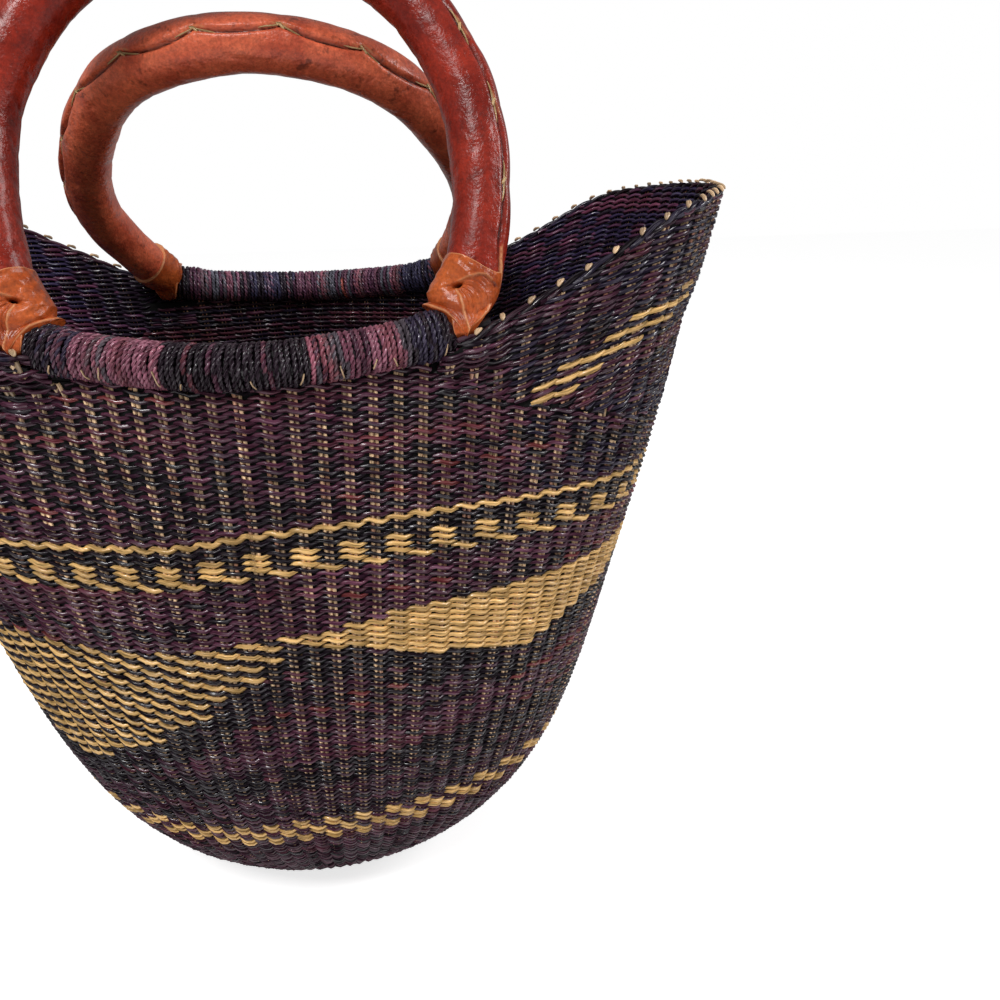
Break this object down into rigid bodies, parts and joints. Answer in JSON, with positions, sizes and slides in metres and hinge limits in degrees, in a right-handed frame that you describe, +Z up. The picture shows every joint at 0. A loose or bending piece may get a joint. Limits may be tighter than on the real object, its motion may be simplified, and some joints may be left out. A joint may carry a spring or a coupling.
{
  "type": "bolga basket",
  "caption": "Woven grass basket with a round base, two upswept wings, bound rim rolls and a pair of leather covered arched handles that swing at leather foot wraps.",
  "frame": {"origin": "middle of the flat rest under the base", "axes": "+X through the wing tips, to the right seen from the front; -Y is the front; +Z up"},
  "size_m": [0.4202, 0.252, 0.4473],
  "materials": {
    "dyed_weave": "twined dyed grass in dark purple and black with natural straw stripes, slightly glossy",
    "wing_border": "dark grass border with a natural straw stitch at each stake",
    "natural_straw": "undyed dry straw bundle",
    "dyed_cord": "dyed grass cord wound closely, purple, black and red brown stretches",
    "front_handle_leather": "smooth glossy red brown leather with fine creases",
    "back_handle_leather": "orange brown leather, satin, mottled",
    "tan_leather": "tan leather strips, satin, pulled tight in folds",
    "pale_thong": "thin pale leather thong"
  },
  "bodies": {
    "basket": {"woven_body": "dyed_weave", "right_wing": "dyed_weave", "left_wing": "dyed_weave", "right_wing_edge": "wing_border", "left_wing_edge": "wing_border", "front_rim_core": "natural_straw", "back_rim_core": "natural_straw", "front_rim_binding": "dyed_cord", "back_rim_binding": "dyed_cord"},
    "front_handle": {"front_handle_core": "natural_straw", "front_handle_cover": "front_handle_leather", "front_handle_lacing": "pale_thong", "front_right_foot_wrap": "tan_leather", "front_left_foot_wrap": "tan_leather"},
    "back_handle": {"back_handle_core": "natural_straw", "back_handle_cover": "back_handle_leather", "back_handle_lacing": "pale_thong", "back_right_foot_wrap": "tan_leather", "back_left_foot_wrap": "tan_leather"}
  },
  "joints": [
    {"name": "front_handle_swing", "type": "hinge", "parent": "basket", "child": "front_handle", "pos_m": [0, -0.09852, 0.29519], "axis": [1, 0, 0], "range_deg": [0, 114]},
    {"name": "back_handle_swing", "type": "hinge", "parent": "basket", "child": "back_handle", "pos_m": [0, 0.09852, 0.29519], "axis": [-1, 0, 0], "range_deg": [-3, 146]}
  ]
}
